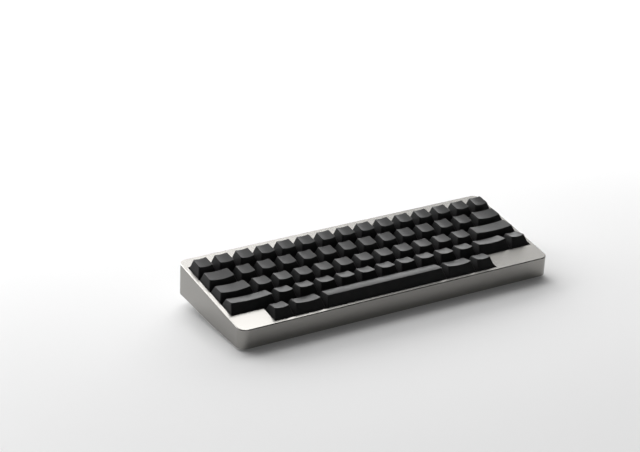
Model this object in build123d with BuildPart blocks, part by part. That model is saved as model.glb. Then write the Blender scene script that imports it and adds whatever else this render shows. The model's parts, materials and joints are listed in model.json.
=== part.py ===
from build123d import *

import os
from functools import cache
from math import cos, hypot, radians, sin, tan

# Compact keyboard with a metal wedge case, sixty blank keys and feet at the rear.
# Millimetres. The desk is z = 0, x runs to the right and y away from the user.
# Case and switches are drawn on the deck, the flat top of the case, which leans towards the user.
# On the deck, y = 0 is the middle of the key field and z = 0 is the metal surface.

# Key field
UNIT = 19.05                 # pitch of the keys
ROW_COUNT = 5
FIELD_UNITS = 15             # width of the key field in units
CAP_SPACING = 1.05           # free space between the bases of two caps
TILT = 10.0                  # lean of the deck, degrees

# Case
CASE_WIDTH = 292.0
FRONT_RIM = 2.9              # metal in front of the key opening
REAR_RIM = 12.2              # metal behind the key opening
OPENING_GAP = 0.45           # from the base of an outer cap to the opening
FRONT_DEPTH = 16.8           # height of the front face, square to the deck
KINK_DEPTH = 22.3            # the same where the underside changes its slope
REAR_DEPTH = 27.5            # the same at the rear face
KINK_Y = -6.0
WALL_LEAN = 5.0              # front and rear face, from square to the deck, towards the user below
CORNER_RADIUS = 7.0
RIM_CHAMFER = 0.5
OPENING_CORNER_RADIUS = 0.5
REAR_WALL = 3.0              # at its lower edge
FRONT_CLEARANCE = 1.75       # desk to the lower front edge
REAR_FACET_TOP = 17.3        # depth where the lower part of the rear face starts to lean in more
REAR_FACET_LEAN = 0.3
HIDDEN_CLEARANCE = 0.15      # between pieces that are put together by hand

# Bottom cover and its seam
COVER_THICKNESS = 1.8
SEAM_GAP = 0.5
SEAM_X = 132.3               # end of the seam, beyond the case screws
TONGUE_THICKNESS = 1.0
TONGUE_LENGTH = 1.2
TONGUE_WIDTH = 220.0
LUG_WIDTH = 9.0
LUG_LENGTH = 7.0
LUG_ABOVE_SCREW = 3.4

# Bar and feet below the cover
BAR_LENGTH = 226.0
BAR_WIDTH = 6.6
BAR_HEIGHT = 3.6
BAR_INSET = 0.5              # lower edge of the rear face to the bar
BAR_EDGE = 0.5
FOOT_LENGTH = 24.0
FOOT_WIDTH = 10.0
FOOT_X = 124.0
REAR_FOOT_Y = 42.4           # on the deck, where the foot meets the desk
FRONT_PAD_Y = -38.0
FOOT_EDGE = 0.8
PAD_THICKNESS = 0.6
PAD_INSET = 0.8              # edge of a metal foot to its rubber pad

# Switch plate, board and connector
PLATE_DROP = 8.2             # deck to the top of the plate
PLATE_THICKNESS = 1.5
PLATE_REACH = 6.0            # plate behind the key opening, under the rear rim
SWITCH_HOLE = 14.0
BOARD_DROP = 5.0             # top of the plate to the top of the board
BOARD_THICKNESS = 1.6
BOARD_CLEARANCE = 1.0
BOARD_REACH = 2.5            # board behind the key opening
PORT_X = -69.9
PORT_DEPTH = 21.0
PORT_OPENING = (9.6, 3.8)
PORT_OPENING_RADIUS = 1.2
PORT_SHELL = (8.94, 3.26)
PORT_SHELL_RADIUS = 1.6
PORT_SHELL_WALL = 0.3
PORT_SHELL_LENGTH = 7.3
PORT_RECESS = 1.2            # rear face to the mouth of the connector
PORT_TONGUE = (6.7, 0.7)
PORT_TONGUE_LENGTH = 5.0
PORT_BACK = 1.0
PORT_BOARD_WIDTH = 18.0
PORT_BOARD_LENGTH = 11.0
HEADER_WIDTH = 8.0
HEADER_LENGTH = 2.5
CHIP_SIZE = 7.0
CHIP_HEIGHT = 0.9
CHIP_X = 23.8
CHIP_Y = 9.5                 # between two rows of pins
DIODE = (3.0, 1.4, 1.0)
DIODE_Y = 7.5                # from the middle of its switch

# Switches
LOWER_BODY = 13.9
FLANGE_SIZE = 15.6
FLANGE_THICKNESS = 1.0
HOUSING_RISE = 6.6           # top of the plate to the top of the upper housing
LOWER_CAVITY = 10.8
HOUSING_FLOOR = 1.2
PIN_RADIUS = 2.0
PIN_LENGTH = 3.0             # below the top of the board
PIN_CLEARANCE = 0.1
GUIDE_HEIGHT = 1.6           # guide tube above the floor of the housing
PIN_FLOOR = 1.0
SHAFT_RADIUS = 1.2
SHAFT_CLEARANCE = 0.15
SHAFT_LENGTH = 3.5
UPPER_BASE = 14.6
UPPER_TOP = (9.6, 8.2)
UPPER_WALL = 1.0
UPPER_HOLE = (7.2, 6.0)
STEM_BODY = (6.8, 5.4)
STEM_BODY_LENGTH = 4.4
STEM_FLANGE = (8.0, 6.4)
STEM_FLANGE_THICKNESS = 1.4
STEM_CLEARANCE = 0.1         # flange to the roof of the housing
CROSS_WIDTH = 4.0
CROSS_ARM = 1.2
CROSS_HEIGHT = 3.6
TRAVEL = 4.0
SPRING_OUTER_RADIUS = 2.6
SPRING_WIRE = 0.4
SPRING_GAP = 0.1             # below the stem at rest

# Stabilisers of the wide keys
STABILISER_SPREAD = {2.25: 23.88, 6.0: 76.2}
STABILISER_BODY = (6.6, 12.0)
STABILISER_RISE = 2.2        # above the top of the plate
STABILISER_WALL = 0.8
STABILISER_STEM = (4.6, 3.6)
STABILISER_STEM_LENGTH = 7.2
WIRE_RADIUS = 0.8
WIRE_Y = 9.4                 # from the middle of its key, on its rear side
WIRE_ABOVE_PLATE = 0.4
WIRE_BEND = 1.6
WIRE_CLEARANCE = 0.15        # in the slot of its housing
WIRE_END_GAP = 0.3           # to the stem that it would lift

# Keycaps
CAP_SINK = 1.8               # base of the caps below the deck
CAP_BASE_RADIUS = 0.9
CAP_TOP_RADIUS = 1.3
CAP_EDGE = 0.35
CAP_WALL = 1.2
CAP_ROOF = 1.4
CAP_DISH = 0.8
WIDE_CAP_DISH = 1.0
SPACE_CROWN = 0.5
MOUNT_RADIUS = 2.75
MOUNT_FIT = 0.05
MOUNT_ABOVE_BASE = 0.2
MOUNT_DEPTH = 3.8

# Screws
CASE_SCREW_X = 129.7
CASE_SCREW_DEPTH = 21.8      # along the rear face
CASE_SCREW_RADIUS = 1.5
CASE_SCREW_LENGTH = 8.0
CASE_SCREW_HEAD = (2.3, 2.0)
SOCKET_WIDTH = 2.0
BAR_SOCKET_WIDTH = 1.5
SOCKET_SHARE = 0.6           # depth of a hexagon socket as a share of the height of its head
RECESS_RADIUS = 3.5
RECESS_DEPTH = 2.2
PLATE_SCREW_RADIUS = 1.25
PLATE_SCREW_LENGTH = 6.0
FOOT_SCREW_RADIUS = 1.5
FOOT_SCREW_LENGTH = 4.5
PAN_HEAD = (2.4, 1.5)
BAR_SCREW_RADIUS = 1.0
BAR_SCREW_HEAD = (1.9, 1.3)
BAR_SCREW_RECESS = 1.6
SCREW_CLEARANCE = 0.1
REAR_PLATE_SCREWS_X = (-120.0, -40.0, 40.0, 120.0)
PLATE_SCREW_REACH = 3.2      # behind the key opening
BAR_SCREWS_X = (-90.0, 0.0, 90.0)

# Keys of each row from left to right, from the rear row to the front row: name and width in units
KEY_ROWS = (
    (0.0, [(f"number_{number:02d}", 1.0) for number in range(1, 16)]),
    (0.0, [("tab", 1.5)] + [(letter, 1.0) for letter in "qwertyuiop"]
          + [("bracket_left", 1.0), ("bracket_right", 1.0), ("delete", 1.5)]),
    (0.0, [("control", 1.75)] + [(letter, 1.0) for letter in "asdfghjkl"]
          + [("semicolon", 1.0), ("quote", 1.0), ("return", 2.25)]),
    (0.0, [("shift_left", 2.25)] + [(letter, 1.0) for letter in "zxcvbnm"]
          + [("comma", 1.0), ("period", 1.0), ("slash", 1.0), ("shift_right", 1.75), ("function", 1.0)]),
    (1.5, [("alt_left", 1.0), ("meta_left", 1.5), ("space", 6.0), ("meta_right", 1.5), ("alt_right", 1.0)]),
)
GROUPED_ROW = 0              # its keys share one node
SPACE_UNITS = 6.0

# Outline of the top face of the caps in each row. Rear and front edge: y and height above the deck.
# Then how far the ends of each edge stand in from the pitch line of the key.
CAP_TOPS = (
    ((7.9, 7.6), (-3.9, 7.35), 3.8, 3.45),
    ((8.0, 6.1), (-3.9, 6.3), 3.8, 3.45),
    ((8.0, 4.9), (-3.9, 6.1), 3.8, 3.45),
    ((8.2, 4.4), (-2.3, 7.1), 3.8, 3.2),
    ((8.2, 4.4), (-2.3, 7.1), 3.8, 3.2),
)

# Places worked out from the sizes above
FIELD_HALF_WIDTH = FIELD_UNITS * UNIT / 2
FIELD_HALF_LENGTH = ROW_COUNT * UNIT / 2
RIM_INSIDE = CAP_SPACING / 2 - OPENING_GAP
OPENING_X = FIELD_HALF_WIDTH - RIM_INSIDE
OPENING_Y = FIELD_HALF_LENGTH - RIM_INSIDE
FRONT_Y = -(OPENING_Y + FRONT_RIM)
REAR_Y = OPENING_Y + REAR_RIM
LEAN_SHARE = tan(radians(WALL_LEAN))
FRONT_LOW_Y = FRONT_Y - FRONT_DEPTH * LEAN_SHARE
REAR_LOW_Y = REAR_Y - REAR_DEPTH * LEAN_SHARE
CAVITY_REAR_Y = REAR_LOW_Y - REAR_WALL
REAR_WALL_REACH = REAR_Y - CAVITY_REAR_Y
SIDE_WALL = CASE_WIDTH / 2 - OPENING_X
SEAM_DEPTH = REAR_DEPTH - COVER_THICKNESS - SEAM_GAP
FRONT_SLOPE = (KINK_DEPTH - FRONT_DEPTH) / (KINK_Y - FRONT_LOW_Y)
REAR_SLOPE = (REAR_DEPTH - KINK_DEPTH) / (REAR_LOW_Y - KINK_Y)
PLATE_REAR_Y = OPENING_Y + PLATE_REACH
BOARD_TOP = -(PLATE_DROP + BOARD_DROP)
BOARD_BOTTOM = BOARD_TOP - BOARD_THICKNESS
HOUSING_TOP = HOUSING_RISE - PLATE_DROP
FLANGE_TOP = FLANGE_THICKNESS - PLATE_DROP
CAP_BASE = -CAP_SINK
DESK_DROP = FRONT_CLEARANCE - FRONT_LOW_Y * sin(radians(TILT)) + FRONT_DEPTH * cos(radians(TILT))
FOOTPRINT_FRONT = FRONT_Y * cos(radians(TILT)) + RIM_CHAMFER * sin(radians(TILT))
FOOTPRINT_REAR = REAR_LOW_Y * cos(radians(TILT)) + REAR_DEPTH * sin(radians(TILT))

deck = Plane(
    origin=(0, -(FOOTPRINT_FRONT + FOOTPRINT_REAR) / 2, DESK_DROP),
    x_dir=(1, 0, 0),
    z_dir=(0, -sin(radians(TILT)), cos(radians(TILT))),
)


def level(z=0.0, x=0.0, y=0.0, lean=0.0):
    """Plane parallel to the deck through a point of it, leaning back by an angle in degrees."""
    return Plane(deck.location * Location((x, y, z), (lean, 0, 0)))


def underside_depth(y):
    """Depth of the lower edge of the case below the deck."""
    if y < KINK_Y:
        return FRONT_DEPTH + (y - FRONT_LOW_Y) * FRONT_SLOPE
    return KINK_DEPTH + (y - KINK_Y) * REAR_SLOPE


def key_y(row):
    return ((ROW_COUNT - 1) / 2 - row) * UNIT


def keys_of(row):
    """Name, centre on the deck and width in units of each key in a row."""
    column, keys = KEY_ROWS[row]
    for name, units in keys:
        yield name, (column + units / 2) * UNIT - FIELD_HALF_WIDTH, key_y(row), units
        column += units


ALL_KEYS = [(row, *key) for row in range(ROW_COUNT) for key in keys_of(row)]
SWITCH_PLACES = [(x, y) for _, _, x, y, _ in ALL_KEYS]
STABILISED = [(x, y, units) for _, _, x, y, units in ALL_KEYS if units in STABILISER_SPREAD]
STABILISER_PLACES = [
    (x + side * STABILISER_SPREAD[units] / 2, y) for x, y, units in STABILISED for side in (-1, 1)
]
FRONT_LEFT_EDGE = KEY_ROWS[-1][0] * UNIT - FIELD_HALF_WIDTH + RIM_INSIDE
FRONT_RIGHT_EDGE = (
    (KEY_ROWS[-1][0] + sum(units for _, units in KEY_ROWS[-1][1])) * UNIT - FIELD_HALF_WIDTH - RIM_INSIDE
)
BLANK_REAR_Y = -FIELD_HALF_LENGTH + UNIT + RIM_INSIDE
PLATE_SCREWS = [(x, OPENING_Y + PLATE_SCREW_REACH) for x in REAR_PLATE_SCREWS_X] + [
    ((FRONT_LEFT_EDGE - OPENING_X) / 2, key_y(ROW_COUNT - 1)),
    ((FRONT_RIGHT_EDGE + OPENING_X) / 2, key_y(ROW_COUNT - 1)),
]

# Side view: x of the sketch runs to the rear, y of the sketch runs up
side_view = Plane(origin=deck.origin, x_dir=deck.y_dir, z_dir=deck.x_dir)
# The rear face seen from inside, so that x of the sketch runs to the right
rear_face = Plane(
    origin=deck.from_local_coords((0, REAR_Y, 0)),
    x_dir=deck.x_dir,
    z_dir=deck.z_dir * sin(radians(WALL_LEAN)) - deck.y_dir * cos(radians(WALL_LEAN)),
)
# The connector sits square to the deck, in the middle of its opening level with the rear face
port_face = Plane(
    origin=deck.from_local_coords((0, REAR_Y - PORT_DEPTH * LEAN_SHARE, 0)),
    x_dir=deck.x_dir,
    z_dir=-deck.y_dir,
)
deck_up = Axis(deck.origin, deck.z_dir)
case_corner = Axis(
    deck.origin, deck.z_dir * cos(radians(WALL_LEAN)) + deck.y_dir * sin(radians(WALL_LEAN))
)
UPSIDE_DOWN = (180, 0, 0)    # turn of a hole or screw that enters from the far side of its plane


def cover_profile(y_front, y_rear):
    """Side view of the cover between two places: its underside follows the edges of the case."""
    lower = [(y, -underside_depth(y)) for y in (y_front, KINK_Y, y_rear)]
    upper = [(y, z + COVER_THICKNESS) for y, z in reversed(lower)]
    Polyline(*lower, *upper, close=True)


def at_keys(part, places):
    """Copies of a loose part, drawn with the deck as z = 0, on places of the deck."""
    return [part.moved(level(x=x, y=y).location) for x, y in places]


def save(part, name):
    part.label = name
    export_step(part, f"parts/{name}.step")


os.makedirs("parts", exist_ok=True)

# Top case: the deck with its opening, the walls and the solid rim that carries the plate
tongue_z = COVER_THICKNESS - underside_depth(-OPENING_Y) - TONGUE_THICKNESS / 2
with BuildPart() as top_case:
    with BuildSketch(side_view):
        with BuildLine():
            Polyline(
                (FRONT_Y, 0),
                (REAR_Y, 0),
                (REAR_LOW_Y, -REAR_DEPTH),
                (KINK_Y, -KINK_DEPTH),
                (FRONT_LOW_Y, -FRONT_DEPTH),
                close=True,
            )
        make_face()
    extrude(amount=CASE_WIDTH / 2, both=True)
    fillet(top_case.edges().filter_by(case_corner), CORNER_RADIUS)
    chamfer(top_case.faces().sort_by(deck_up)[-1].edges(), RIM_CHAMFER)
    # key opening, with the blank corners beside the front row
    with BuildSketch(deck) as opening:
        with BuildLine():
            Polyline(
                (-OPENING_X, OPENING_Y),
                (OPENING_X, OPENING_Y),
                (OPENING_X, BLANK_REAR_Y),
                (FRONT_RIGHT_EDGE, BLANK_REAR_Y),
                (FRONT_RIGHT_EDGE, -OPENING_Y),
                (FRONT_LEFT_EDGE, -OPENING_Y),
                (FRONT_LEFT_EDGE, BLANK_REAR_Y),
                (-OPENING_X, BLANK_REAR_Y),
                close=True,
            )
        make_face()
        fillet(opening.vertices(), OPENING_CORNER_RADIUS)
    extrude(amount=-PLATE_DROP, mode=Mode.SUBTRACT)
    # room for plate, board and cover
    with BuildSketch(level(-PLATE_DROP, y=(CAVITY_REAR_Y - OPENING_Y) / 2)):
        RectangleRounded(2 * OPENING_X, CAVITY_REAR_Y + OPENING_Y, CORNER_RADIUS - SIDE_WALL)
    extrude(amount=-REAR_DEPTH, mode=Mode.SUBTRACT)
    # the cover reaches the rear face below the seam
    with BuildSketch(level(-SEAM_DEPTH, y=REAR_Y)):
        Rectangle(2 * SEAM_X, 2 * (REAR_WALL_REACH + HIDDEN_CLEARANCE))
    extrude(amount=-REAR_DEPTH, mode=Mode.SUBTRACT)
    # groove for the tongue of the cover
    with BuildSketch(side_view):
        with Locations((-OPENING_Y, tongue_z)):
            Rectangle(2 * (TONGUE_LENGTH + HIDDEN_CLEARANCE), TONGUE_THICKNESS + 2 * HIDDEN_CLEARANCE)
    extrude(amount=TONGUE_WIDTH / 2 + HIDDEN_CLEARANCE, both=True, mode=Mode.SUBTRACT)
    # the rear face leans in a little more below a faint line
    with BuildSketch(side_view):
        with BuildLine():
            Polyline(
                (REAR_Y - REAR_FACET_TOP * LEAN_SHARE, -REAR_FACET_TOP),
                (REAR_LOW_Y - REAR_FACET_LEAN, -REAR_DEPTH),
                (REAR_LOW_Y + REAR_FACET_LEAN, -REAR_DEPTH),
                close=True,
            )
        make_face()
    extrude(amount=CASE_SCREW_X, both=True, mode=Mode.SUBTRACT)
    # opening for the connector
    with BuildSketch(port_face.offset(-PORT_RECESS)):
        with Locations((PORT_X, -PORT_DEPTH)):
            RectangleRounded(*PORT_OPENING, PORT_OPENING_RADIUS)
    extrude(amount=REAR_WALL_REACH, mode=Mode.SUBTRACT)
    # recessed case screws
    with Locations(*[
        rear_face.location * Location((x, -CASE_SCREW_DEPTH, 0), UPSIDE_DOWN)
        for x in (-CASE_SCREW_X, CASE_SCREW_X)
    ]):
        CounterBoreHole(CASE_SCREW_RADIUS + SCREW_CLEARANCE, RECESS_RADIUS, RECESS_DEPTH, REAR_WALL_REACH)
    # threaded holes for the plate screws
    with BuildSketch(level(-PLATE_DROP)):
        with Locations(*PLATE_SCREWS):
            Circle(PLATE_SCREW_RADIUS + SCREW_CLEARANCE)
    extrude(amount=PLATE_SCREW_LENGTH - PLATE_THICKNESS + SCREW_CLEARANCE, mode=Mode.SUBTRACT)
save(top_case.part, "top_case")

# Bottom cover: a bent plate with a tongue in front and two lugs for the case screws
cover_x = OPENING_X - HIDDEN_CLEARANCE
lug_y = CAVITY_REAR_Y - HIDDEN_CLEARANCE - LUG_LENGTH / 2
lug_bottom = underside_depth(lug_y)
strip_y = CAVITY_REAR_Y - 2 * HIDDEN_CLEARANCE
rear_underside = Plane(
    origin=deck.from_local_coords((0, REAR_LOW_Y, -REAR_DEPTH)),
    x_dir=deck.x_dir,
    z_dir=deck.z_dir + deck.y_dir * REAR_SLOPE,
)
front_underside = Plane(
    origin=deck.from_local_coords((0, FRONT_LOW_Y, -FRONT_DEPTH)),
    x_dir=deck.x_dir,
    z_dir=deck.z_dir + deck.y_dir * FRONT_SLOPE,
)
BAR_Y = -(BAR_INSET + BAR_WIDTH / 2)
foot_rise = REAR_FOOT_Y - REAR_LOW_Y
FOOT_SCREWS = [(-FOOT_X, foot_rise), (FOOT_X, foot_rise)]
BAR_SCREWS = [(x, BAR_Y) for x in BAR_SCREWS_X]

with BuildPart() as bottom_cover:
    with BuildSketch(side_view):
        with BuildLine():
            cover_profile(HIDDEN_CLEARANCE - OPENING_Y, CAVITY_REAR_Y - HIDDEN_CLEARANCE)
        make_face()
    extrude(amount=cover_x, both=True)
    fillet(bottom_cover.edges().filter_by(deck_up), CORNER_RADIUS - SIDE_WALL)
    # rear strip below the seam
    with BuildSketch(side_view):
        with BuildLine():
            Polyline(
                (strip_y, -underside_depth(strip_y)),
                (REAR_LOW_Y, -REAR_DEPTH),
                (REAR_LOW_Y + COVER_THICKNESS * LEAN_SHARE, COVER_THICKNESS - REAR_DEPTH),
                (strip_y, COVER_THICKNESS - underside_depth(strip_y)),
                close=True,
            )
        make_face()
    extrude(amount=SEAM_X - HIDDEN_CLEARANCE, both=True)
    # tongue
    with BuildSketch(side_view):
        with Locations((HIDDEN_CLEARANCE - OPENING_Y, tongue_z)):
            Rectangle(2 * TONGUE_LENGTH, TONGUE_THICKNESS)
    extrude(amount=TONGUE_WIDTH / 2, both=True)
    # lugs
    with BuildSketch(level(-lug_bottom + COVER_THICKNESS / 2)):
        with Locations((-CASE_SCREW_X, lug_y), (CASE_SCREW_X, lug_y)):
            Rectangle(LUG_WIDTH, LUG_LENGTH)
    extrude(amount=lug_bottom - COVER_THICKNESS / 2 - CASE_SCREW_DEPTH + LUG_ABOVE_SCREW)
    with BuildSketch(rear_face):
        with Locations((-CASE_SCREW_X, -CASE_SCREW_DEPTH), (CASE_SCREW_X, -CASE_SCREW_DEPTH)):
            Circle(CASE_SCREW_RADIUS + SCREW_CLEARANCE)
    extrude(amount=REAR_WALL_REACH + LUG_LENGTH, mode=Mode.SUBTRACT)
    # holes of the screws that hold the bar and the feet
    with BuildSketch(rear_underside):
        with Locations(*FOOT_SCREWS):
            Circle(FOOT_SCREW_RADIUS + SCREW_CLEARANCE)
        with Locations(*BAR_SCREWS):
            Circle(BAR_SCREW_RADIUS + SCREW_CLEARANCE)
    extrude(amount=COVER_THICKNESS + SEAM_GAP, mode=Mode.SUBTRACT)
save(bottom_cover.part, "bottom_cover")

# Bar under the rear edge
with BuildPart() as underside_bar:
    with BuildSketch(rear_underside):
        with Locations((0, BAR_Y)):
            SlotOverall(BAR_LENGTH, BAR_WIDTH)
    extrude(amount=-BAR_HEIGHT)
    chamfer(underside_bar.faces().sort_by(Axis.Z)[0].edges(), BAR_EDGE)
    bar_bottom = rear_underside.offset(-BAR_HEIGHT)
    with Locations(*[bar_bottom.location * Location((x, BAR_Y, 0), UPSIDE_DOWN) for x in BAR_SCREWS_X]):
        CounterBoreHole(
            BAR_SCREW_RADIUS + SCREW_CLEARANCE,
            BAR_SCREW_HEAD[0] + SCREW_CLEARANCE,
            BAR_SCREW_RECESS,
            BAR_HEIGHT,
        )
save(underside_bar.part, "underside_bar")


def on_desk(y):
    """Distance from the user of the point of the desk that lies straight below the deck line y."""
    z = -(deck.origin.Z + y * sin(radians(TILT))) / cos(radians(TILT))
    return deck.from_local_coords((0, y, z)).Y


# Metal feet at the rear, upright on their pads
with BuildPart() as rear_feet:
    with BuildSketch(Plane.XY.offset(PAD_THICKNESS)):
        with Locations((-FOOT_X, on_desk(REAR_FOOT_Y)), (FOOT_X, on_desk(REAR_FOOT_Y))):
            SlotOverall(FOOT_LENGTH, FOOT_WIDTH)
    extrude(amount=DESK_DROP)
    split(bisect_by=rear_underside, keep=Keep.BOTTOM)
    chamfer(rear_feet.faces().sort_by(Axis.Z)[:2].edges(), FOOT_EDGE)
    with BuildSketch(rear_underside):
        with Locations(*FOOT_SCREWS):
            Circle(FOOT_SCREW_RADIUS + SCREW_CLEARANCE)
    extrude(amount=-(FOOT_SCREW_LENGTH - COVER_THICKNESS + SCREW_CLEARANCE), mode=Mode.SUBTRACT)
save(rear_feet.part, "rear_feet")

# Rubber pads: two under the metal feet, two under the front of the cover
with BuildPart() as rubber_pads:
    with BuildSketch():
        with Locations((-FOOT_X, on_desk(FRONT_PAD_Y)), (FOOT_X, on_desk(FRONT_PAD_Y))):
            SlotOverall(FOOT_LENGTH, FOOT_WIDTH)
    extrude(amount=DESK_DROP)
    split(bisect_by=front_underside, keep=Keep.BOTTOM)
    with BuildSketch():
        with Locations((-FOOT_X, on_desk(REAR_FOOT_Y)), (FOOT_X, on_desk(REAR_FOOT_Y))):
            SlotOverall(FOOT_LENGTH - 2 * PAD_INSET, FOOT_WIDTH - 2 * PAD_INSET)
    extrude(amount=PAD_THICKNESS)
save(rubber_pads.part, "rubber_pads")


@cache
def screw(radius, length, head_radius, head_height, socket_width):
    """Screw with a flat round head and a hexagon socket, the underside of its head at z = 0."""
    with BuildPart() as piece:
        with BuildSketch():
            Circle(radius)
        extrude(amount=-length)
        with BuildSketch():
            Circle(head_radius)
        extrude(amount=head_height)
        with BuildSketch(Plane.XY.offset(head_height)):
            RegularPolygon(socket_width / 2, 6, major_radius=False)
        extrude(amount=-head_height * SOCKET_SHARE, mode=Mode.SUBTRACT)
    return piece.part


# Screws: two in the rear face, six under the plate, two that hold the feet, three that hold the bar
case_screw = screw(CASE_SCREW_RADIUS, CASE_SCREW_LENGTH, *CASE_SCREW_HEAD, SOCKET_WIDTH)
plate_screw = screw(PLATE_SCREW_RADIUS, PLATE_SCREW_LENGTH, *PAN_HEAD, SOCKET_WIDTH)
foot_screw = screw(FOOT_SCREW_RADIUS, FOOT_SCREW_LENGTH, *PAN_HEAD, SOCKET_WIDTH)
bar_screw_length = BAR_HEIGHT - BAR_SCREW_RECESS + COVER_THICKNESS
bar_screw = screw(BAR_SCREW_RADIUS, bar_screw_length, *BAR_SCREW_HEAD, BAR_SOCKET_WIDTH)

with BuildPart() as screws:
    with Locations(*[
        rear_face.location * Location((x, -CASE_SCREW_DEPTH, RECESS_DEPTH), UPSIDE_DOWN)
        for x in (-CASE_SCREW_X, CASE_SCREW_X)
    ]):
        add(case_screw)
    with Locations(*[
        deck.location * Location((x, y, -PLATE_DROP - PLATE_THICKNESS), UPSIDE_DOWN)
        for x, y in PLATE_SCREWS
    ]):
        add(plate_screw)
    with Locations(*[rear_underside.location * Location((x, y, COVER_THICKNESS)) for x, y in FOOT_SCREWS]):
        add(foot_screw)
    with Locations(*[
        rear_underside.location * Location((x, y, BAR_SCREW_RECESS - BAR_HEIGHT), UPSIDE_DOWN)
        for x, y in BAR_SCREWS
    ]):
        add(bar_screw)
save(screws.part, "screws")

# Switch plate, screwed to the rim from below
with BuildPart() as switch_plate:
    plate_front_y = HIDDEN_CLEARANCE - OPENING_Y
    plate_rear_y = PLATE_REAR_Y
    with BuildSketch(level(-PLATE_DROP, y=(plate_rear_y + plate_front_y) / 2)):
        RectangleRounded(
            2 * (OPENING_X - HIDDEN_CLEARANCE), plate_rear_y - plate_front_y, CORNER_RADIUS - SIDE_WALL
        )
    extrude(amount=-PLATE_THICKNESS)
    with BuildSketch(level(-PLATE_DROP)):
        with Locations(*SWITCH_PLACES):
            Rectangle(SWITCH_HOLE, SWITCH_HOLE)
        with Locations(*STABILISER_PLACES):
            Rectangle(
                STABILISER_BODY[0] + 2 * HIDDEN_CLEARANCE, STABILISER_BODY[1] + 2 * HIDDEN_CLEARANCE
            )
        with Locations(*PLATE_SCREWS):
            Circle(PLATE_SCREW_RADIUS + SCREW_CLEARANCE)
    extrude(amount=-PLATE_THICKNESS, mode=Mode.SUBTRACT)
save(switch_plate.part, "switch_plate")


def block(width, length, height):
    """Loose block that stands on z = 0."""
    return Box(width, length, height, align=(Align.CENTER, Align.CENTER, Align.MIN))


# Main board with its chip and diodes, and the small connector board that hangs below it on a header.
# What is soldered on a board stays a solid of its own.
port_board_bottom = -PORT_DEPTH + PORT_SHELL[1] / 2
port_board_rear = CAVITY_REAR_Y - 2 * HIDDEN_CLEARANCE
header_y = port_board_rear - PORT_BOARD_LENGTH + HEADER_LENGTH / 2
header_height = BOARD_BOTTOM - port_board_bottom - BOARD_THICKNESS
board_front_y = BOARD_CLEARANCE - OPENING_Y
board_rear_y = OPENING_Y + BOARD_REACH

with BuildPart() as main_board:
    with BuildSketch(level(BOARD_BOTTOM, y=(board_rear_y + board_front_y) / 2)):
        RectangleRounded(
            2 * (OPENING_X - BOARD_CLEARANCE), board_rear_y - board_front_y, CORNER_RADIUS - SIDE_WALL
        )
    extrude(amount=BOARD_THICKNESS)
    with BuildSketch(level(BOARD_BOTTOM)):
        with Locations(*SWITCH_PLACES):
            Circle(PIN_RADIUS + PIN_CLEARANCE)
    extrude(amount=BOARD_THICKNESS, mode=Mode.SUBTRACT)

board_pieces = [
    main_board.part,
    block(CHIP_SIZE, CHIP_SIZE, CHIP_HEIGHT).moved(
        level(BOARD_BOTTOM - CHIP_HEIGHT, CHIP_X, CHIP_Y).location
    ),
    block(PORT_BOARD_WIDTH, PORT_BOARD_LENGTH, BOARD_THICKNESS).moved(
        level(port_board_bottom, PORT_X, port_board_rear - PORT_BOARD_LENGTH / 2).location
    ),
    block(HEADER_WIDTH, HEADER_LENGTH, header_height).moved(
        level(BOARD_BOTTOM - header_height, PORT_X, header_y).location
    ),
] + [
    block(*DIODE).moved(level(BOARD_BOTTOM - DIODE[2], x, y + DIODE_Y).location)
    for x, y in SWITCH_PLACES
]
save(Compound(children=board_pieces), "circuit_board")

# Connector: a rounded metal shell, open to the rear, with a tongue inside
port_mouth = port_face.offset(PORT_RECESS)
with BuildPart() as usb_connector:
    with BuildSketch(port_mouth):
        with Locations((PORT_X, -PORT_DEPTH)):
            RectangleRounded(*PORT_SHELL, PORT_SHELL_RADIUS)
    extrude(amount=PORT_SHELL_LENGTH)
    with BuildSketch(port_mouth):
        with Locations((PORT_X, -PORT_DEPTH)):
            RectangleRounded(
                *[size - 2 * PORT_SHELL_WALL for size in PORT_SHELL], PORT_SHELL_RADIUS - PORT_SHELL_WALL
            )
    extrude(amount=PORT_SHELL_LENGTH - PORT_BACK, mode=Mode.SUBTRACT)
    with BuildSketch(port_mouth.offset(PORT_SHELL_LENGTH - PORT_BACK)):
        with Locations((PORT_X, -PORT_DEPTH)):
            Rectangle(*PORT_TONGUE)
    extrude(amount=-PORT_TONGUE_LENGTH)
save(usb_connector.part, "usb_connector")

# Lower switch housing: clipped into the plate, its pin in the board. Drawn with the deck as z = 0.
housing_floor_z = BOARD_TOP + HOUSING_FLOOR
guide_top_z = housing_floor_z + GUIDE_HEIGHT
pin_bottom_z = BOARD_TOP - PIN_LENGTH

with BuildPart() as lower_housing:
    with BuildSketch(Plane.XY.offset(BOARD_TOP)):
        Rectangle(LOWER_BODY, LOWER_BODY)
    extrude(amount=BOARD_DROP)
    with BuildSketch(Plane.XY.offset(-PLATE_DROP)):
        Rectangle(FLANGE_SIZE, FLANGE_SIZE)
    extrude(amount=FLANGE_THICKNESS)
    with BuildSketch(Plane.XY.offset(housing_floor_z)):
        Rectangle(LOWER_CAVITY, LOWER_CAVITY)
    extrude(amount=FLANGE_TOP - housing_floor_z, mode=Mode.SUBTRACT)
    with BuildSketch(Plane.XY.offset(pin_bottom_z)):
        Circle(PIN_RADIUS)
    extrude(amount=guide_top_z - pin_bottom_z)
    with BuildSketch(Plane.XY.offset(pin_bottom_z + PIN_FLOOR)):
        Circle(SHAFT_RADIUS + SHAFT_CLEARANCE)
    extrude(amount=guide_top_z - pin_bottom_z, mode=Mode.SUBTRACT)
save(Compound(children=at_keys(lower_housing.part, SWITCH_PLACES)), "switch_lower_housings")

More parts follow.
